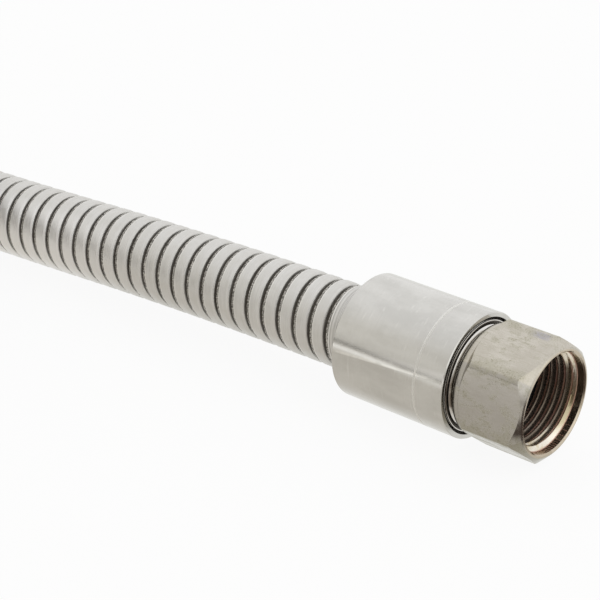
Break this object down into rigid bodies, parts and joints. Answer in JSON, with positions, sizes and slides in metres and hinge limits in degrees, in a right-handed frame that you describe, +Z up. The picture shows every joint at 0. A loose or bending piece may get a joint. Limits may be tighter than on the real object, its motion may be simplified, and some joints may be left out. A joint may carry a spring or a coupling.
{
  "type": "flexible metal hose",
  "caption": "Strip-wound flexible metal hose with a smooth ferrule and a free-turning female hex nut on each end, put away in a loose coil.",
  "frame": {"origin": "on the axis of the first fitting's thread, where the thread's entry chamfer ends", "axes": "+X out of the first nut's mouth along the fitting, +Z up from the surface that the hose lies on"},
  "size_m": [0.3184, 0.2106, 0.0367],
  "materials": {
    "nut": "nickel-plated outside, bare brass thread",
    "stem": "nickel-plated, turned",
    "washer": "matte black",
    "sleeve": "bright turned stainless",
    "ferrule": "satin stainless",
    "liner": "matte black",
    "crimp": "plain brass",
    "hose": "satin stainless strip"
  },
  "bodies": {
    "hose_body": {"near_stem": "stem", "near_sealing_washer": "washer", "near_inner_sleeve": "sleeve", "near_ferrule": "ferrule", "near_liner_end": "liner", "near_crimp_ring": "crimp", "far_stem": "stem", "far_sealing_washer": "washer", "far_inner_sleeve": "sleeve", "far_ferrule": "ferrule", "far_liner_end": "liner", "far_crimp_ring": "crimp", "hose_run": "hose", "hose_coil": "hose", "hose_tail": "hose"},
    "near_nut": {"near_swivel_nut": "nut"},
    "far_nut": {"far_swivel_nut": "nut"}
  },
  "joints": [
    {"name": "near_nut_swivel", "type": "hinge", "parent": "hose_body", "child": "near_nut", "pos_m": [0, 0, 0], "axis": [1, 0, 0], "continuous": true},
    {"name": "far_nut_swivel", "type": "hinge", "parent": "hose_body", "child": "far_nut", "pos_m": [-0.0704, -0.184, 0], "axis": [1, 0, 0], "continuous": true}
  ]
}
